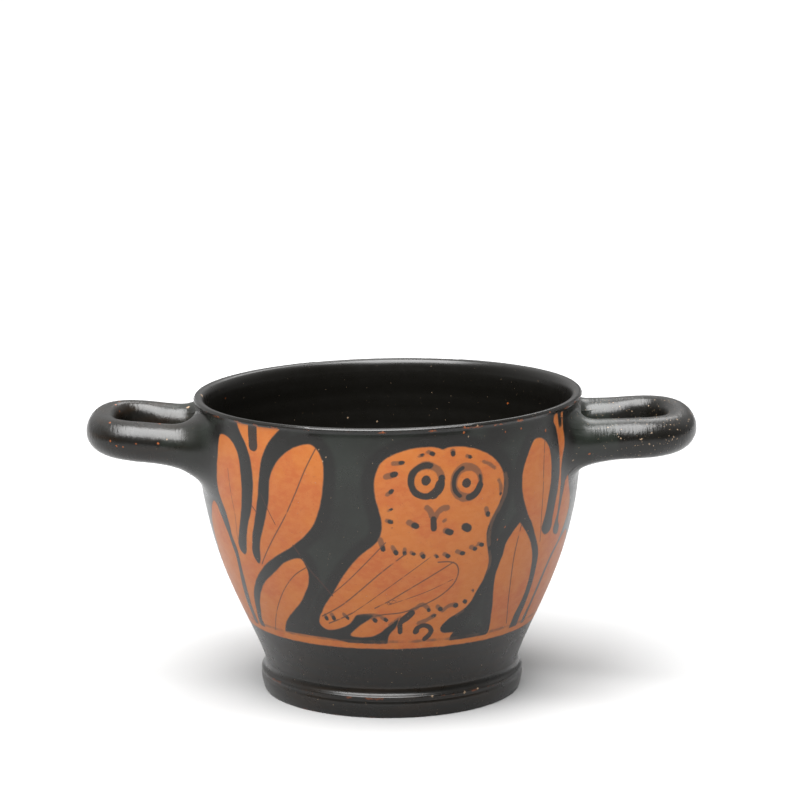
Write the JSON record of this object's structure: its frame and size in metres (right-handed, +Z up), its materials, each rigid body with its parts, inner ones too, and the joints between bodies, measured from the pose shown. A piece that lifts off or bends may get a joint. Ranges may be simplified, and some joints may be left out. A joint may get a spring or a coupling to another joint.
{
  "type": "skyphos",
  "caption": "Deep hollow drinking cup of fired clay with a ring foot and level loop handles, painted with an owl between olive sprigs.",
  "frame": {"origin": "middle of the foot's underside, on the surface that the cup stands on", "axes": "+Z up out of the mouth, +X through the middle of one handle, -Y out of the better painted side"},
  "size_m": [0.1624, 0.102, 0.08],
  "materials": {
    "painted_clay": "black gloss with orange figures left in the colour of the clay, satin"
  },
  "bodies": {
    "root": {"skyphos": "painted_clay"}
  },
  "joints": []
}
